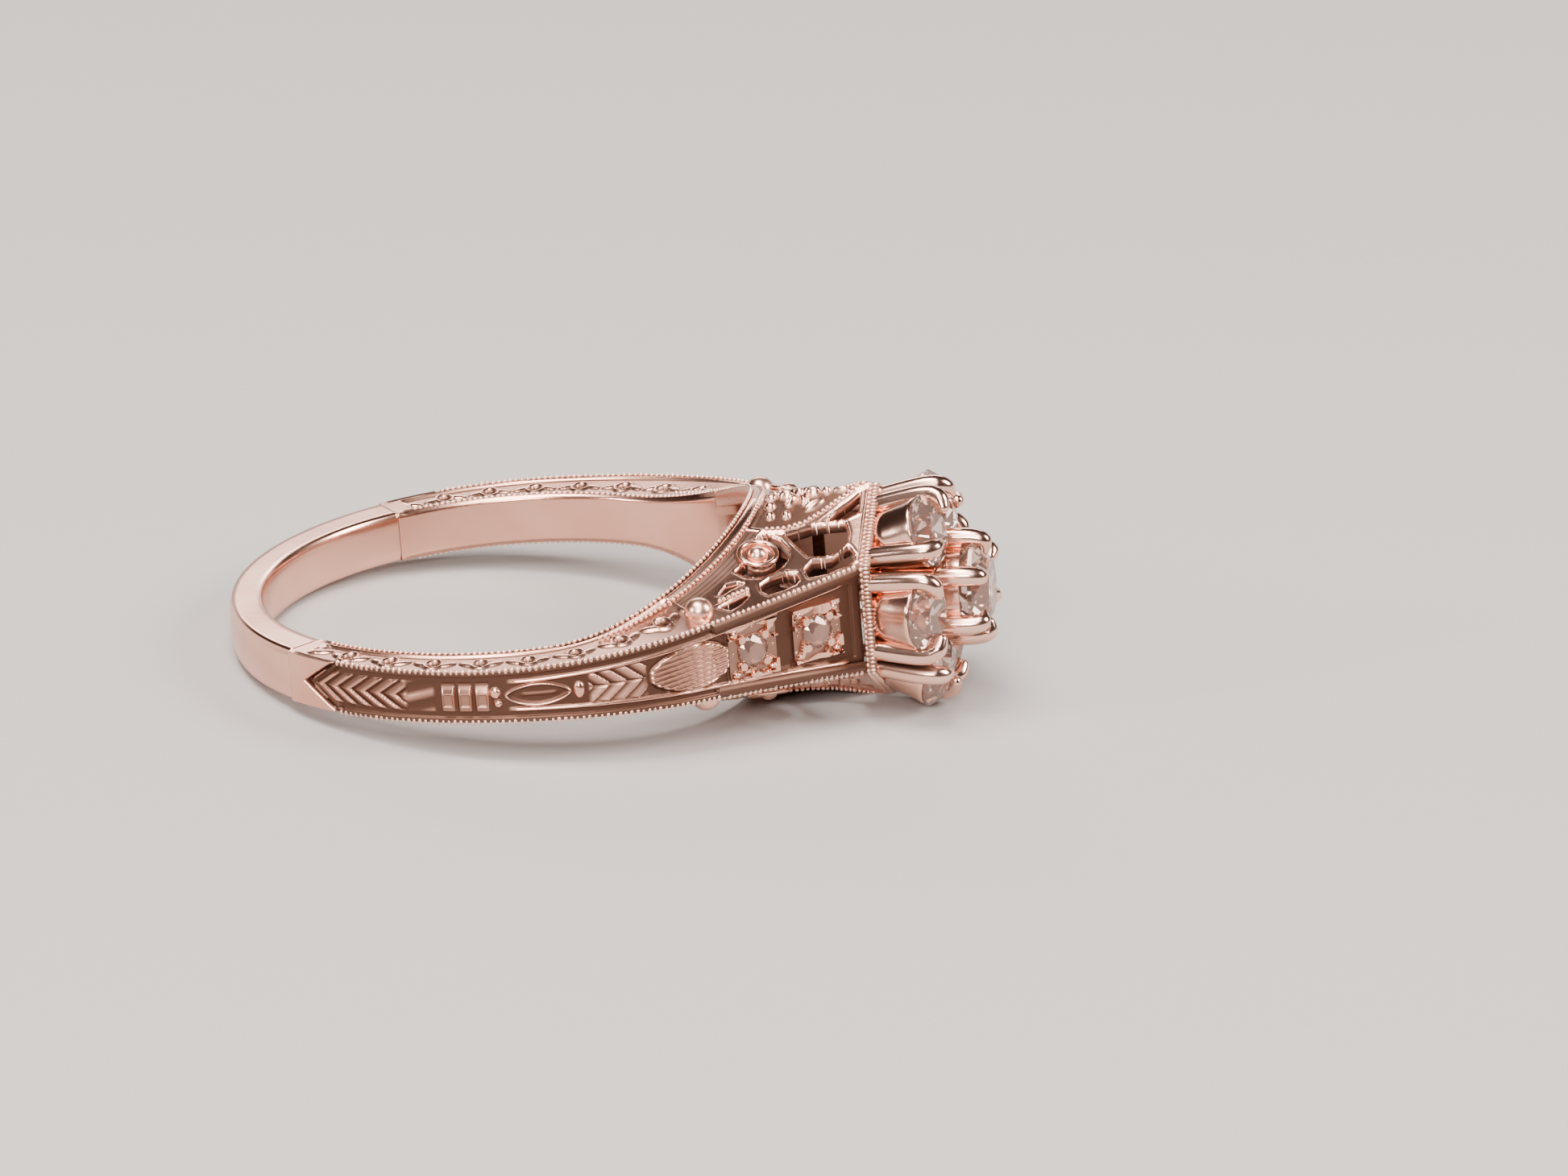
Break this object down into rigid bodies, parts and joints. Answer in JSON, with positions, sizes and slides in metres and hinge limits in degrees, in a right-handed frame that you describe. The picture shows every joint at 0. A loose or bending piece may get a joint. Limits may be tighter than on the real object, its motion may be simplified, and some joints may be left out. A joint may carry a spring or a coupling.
{
  "type": "engagement ring",
  "caption": "Antique-style cluster engagement ring with a pierced, bridge-shaped head, tilted outer stones in collets, a taller clawed centre stone, engraved arms and stone-set shoulders.",
  "frame": {"origin": "centre of the finger hole, on the hoop's mid plane", "axes": "+Z along the finger hole's axis, +X from the finger toward the stones, -Y toward the ring's right shoulder"},
  "size_m": [0.0265, 0.021, 0.0078],
  "materials": {
    "back_shank": "polished",
    "centre_bearing": "polished",
    "centre_diamond": "polished facets",
    "centre_prong_1": "polished",
    "centre_prong_2": "polished",
    "centre_prong_3": "polished",
    "centre_prong_4": "polished",
    "centre_prong_5": "polished",
    "centre_prong_6": "polished",
    "centre_rail": "polished",
    "crest_beads": "polished",
    "gallery_beads": "polished",
    "hexagon_plate": "engraved satin",
    "left_arm": "engraved satin",
    "left_lower_gallery_panel": "engraved satin",
    "left_lower_rosette": "polished",
    "left_plaque_1": "engraved satin",
    "left_plaque_2": "engraved satin",
    "left_shoulder": "engraved satin",
    "left_shoulder_diamond_1": "polished facets",
    "left_shoulder_diamond_2": "polished facets",
    "left_upper_gallery_panel": "engraved satin",
    "left_upper_rosette": "polished",
    "lower_crest": "engraved satin",
    "lower_finger_rail": "engraved satin",
    "outer_collet_1": "polished",
    "outer_collet_2": "polished",
    "outer_collet_3": "polished",
    "outer_collet_4": "polished",
    "outer_collet_5": "polished",
    "outer_collet_6": "polished",
    "outer_diamond_1": "polished facets",
    "outer_diamond_2": "polished facets",
    "outer_diamond_3": "polished facets",
    "outer_diamond_4": "polished facets",
    "outer_diamond_5": "polished facets",
    "outer_diamond_6": "polished facets",
    "outer_prongs_1": "polished",
    "outer_prongs_2": "polished",
    "outer_prongs_3": "polished",
    "outer_prongs_4": "polished",
    "outer_prongs_5": "polished",
    "outer_prongs_6": "polished",
    "right_arm": "engraved satin",
    "right_lower_gallery_panel": "engraved satin",
    "right_lower_rosette": "polished",
    "right_plaque_1": "engraved satin",
    "right_plaque_2": "engraved satin",
    "right_shoulder": "engraved satin",
    "right_shoulder_diamond_1": "polished facets",
    "right_shoulder_diamond_2": "polished facets",
    "right_upper_gallery_panel": "engraved satin",
    "right_upper_rosette": "polished",
    "rosette_beads": "polished",
    "upper_crest": "engraved satin",
    "upper_finger_rail": "engraved satin"
  },
  "bodies": {
    "root": {"back_shank": "back_shank", "centre_bearing": "centre_bearing", "centre_diamond": "centre_diamond", "centre_prong_1": "centre_prong_1", "centre_prong_2": "centre_prong_2", "centre_prong_3": "centre_prong_3", "centre_prong_4": "centre_prong_4", "centre_prong_5": "centre_prong_5", "centre_prong_6": "centre_prong_6", "centre_rail": "centre_rail", "crest_beads": "crest_beads", "gallery_beads": "gallery_beads", "hexagon_plate": "hexagon_plate", "left_arm": "left_arm", "left_lower_gallery_panel": "left_lower_gallery_panel", "left_lower_rosette": "left_lower_rosette", "left_plaque_1": "left_plaque_1", "left_plaque_2": "left_plaque_2", "left_shoulder": "left_shoulder", "left_shoulder_diamond_1": "left_shoulder_diamond_1", "left_shoulder_diamond_2": "left_shoulder_diamond_2", "left_upper_gallery_panel": "left_upper_gallery_panel", "left_upper_rosette": "left_upper_rosette", "lower_crest": "lower_crest", "lower_finger_rail": "lower_finger_rail", "outer_collet_1": "outer_collet_1", "outer_collet_2": "outer_collet_2", "outer_collet_3": "outer_collet_3", "outer_collet_4": "outer_collet_4", "outer_collet_5": "outer_collet_5", "outer_collet_6": "outer_collet_6", "outer_diamond_1": "outer_diamond_1", "outer_diamond_2": "outer_diamond_2", "outer_diamond_3": "outer_diamond_3", "outer_diamond_4": "outer_diamond_4", "outer_diamond_5": "outer_diamond_5", "outer_diamond_6": "outer_diamond_6", "outer_prongs_1": "outer_prongs_1", "outer_prongs_2": "outer_prongs_2", "outer_prongs_3": "outer_prongs_3", "outer_prongs_4": "outer_prongs_4", "outer_prongs_5": "outer_prongs_5", "outer_prongs_6": "outer_prongs_6", "right_arm": "right_arm", "right_lower_gallery_panel": "right_lower_gallery_panel", "right_lower_rosette": "right_lower_rosette", "right_plaque_1": "right_plaque_1", "right_plaque_2": "right_plaque_2", "right_shoulder": "right_shoulder", "right_shoulder_diamond_1": "right_shoulder_diamond_1", "right_shoulder_diamond_2": "right_shoulder_diamond_2", "right_upper_gallery_panel": "right_upper_gallery_panel", "right_upper_rosette": "right_upper_rosette", "rosette_beads": "rosette_beads", "upper_crest": "upper_crest", "upper_finger_rail": "upper_finger_rail"}
  },
  "joints": []
}
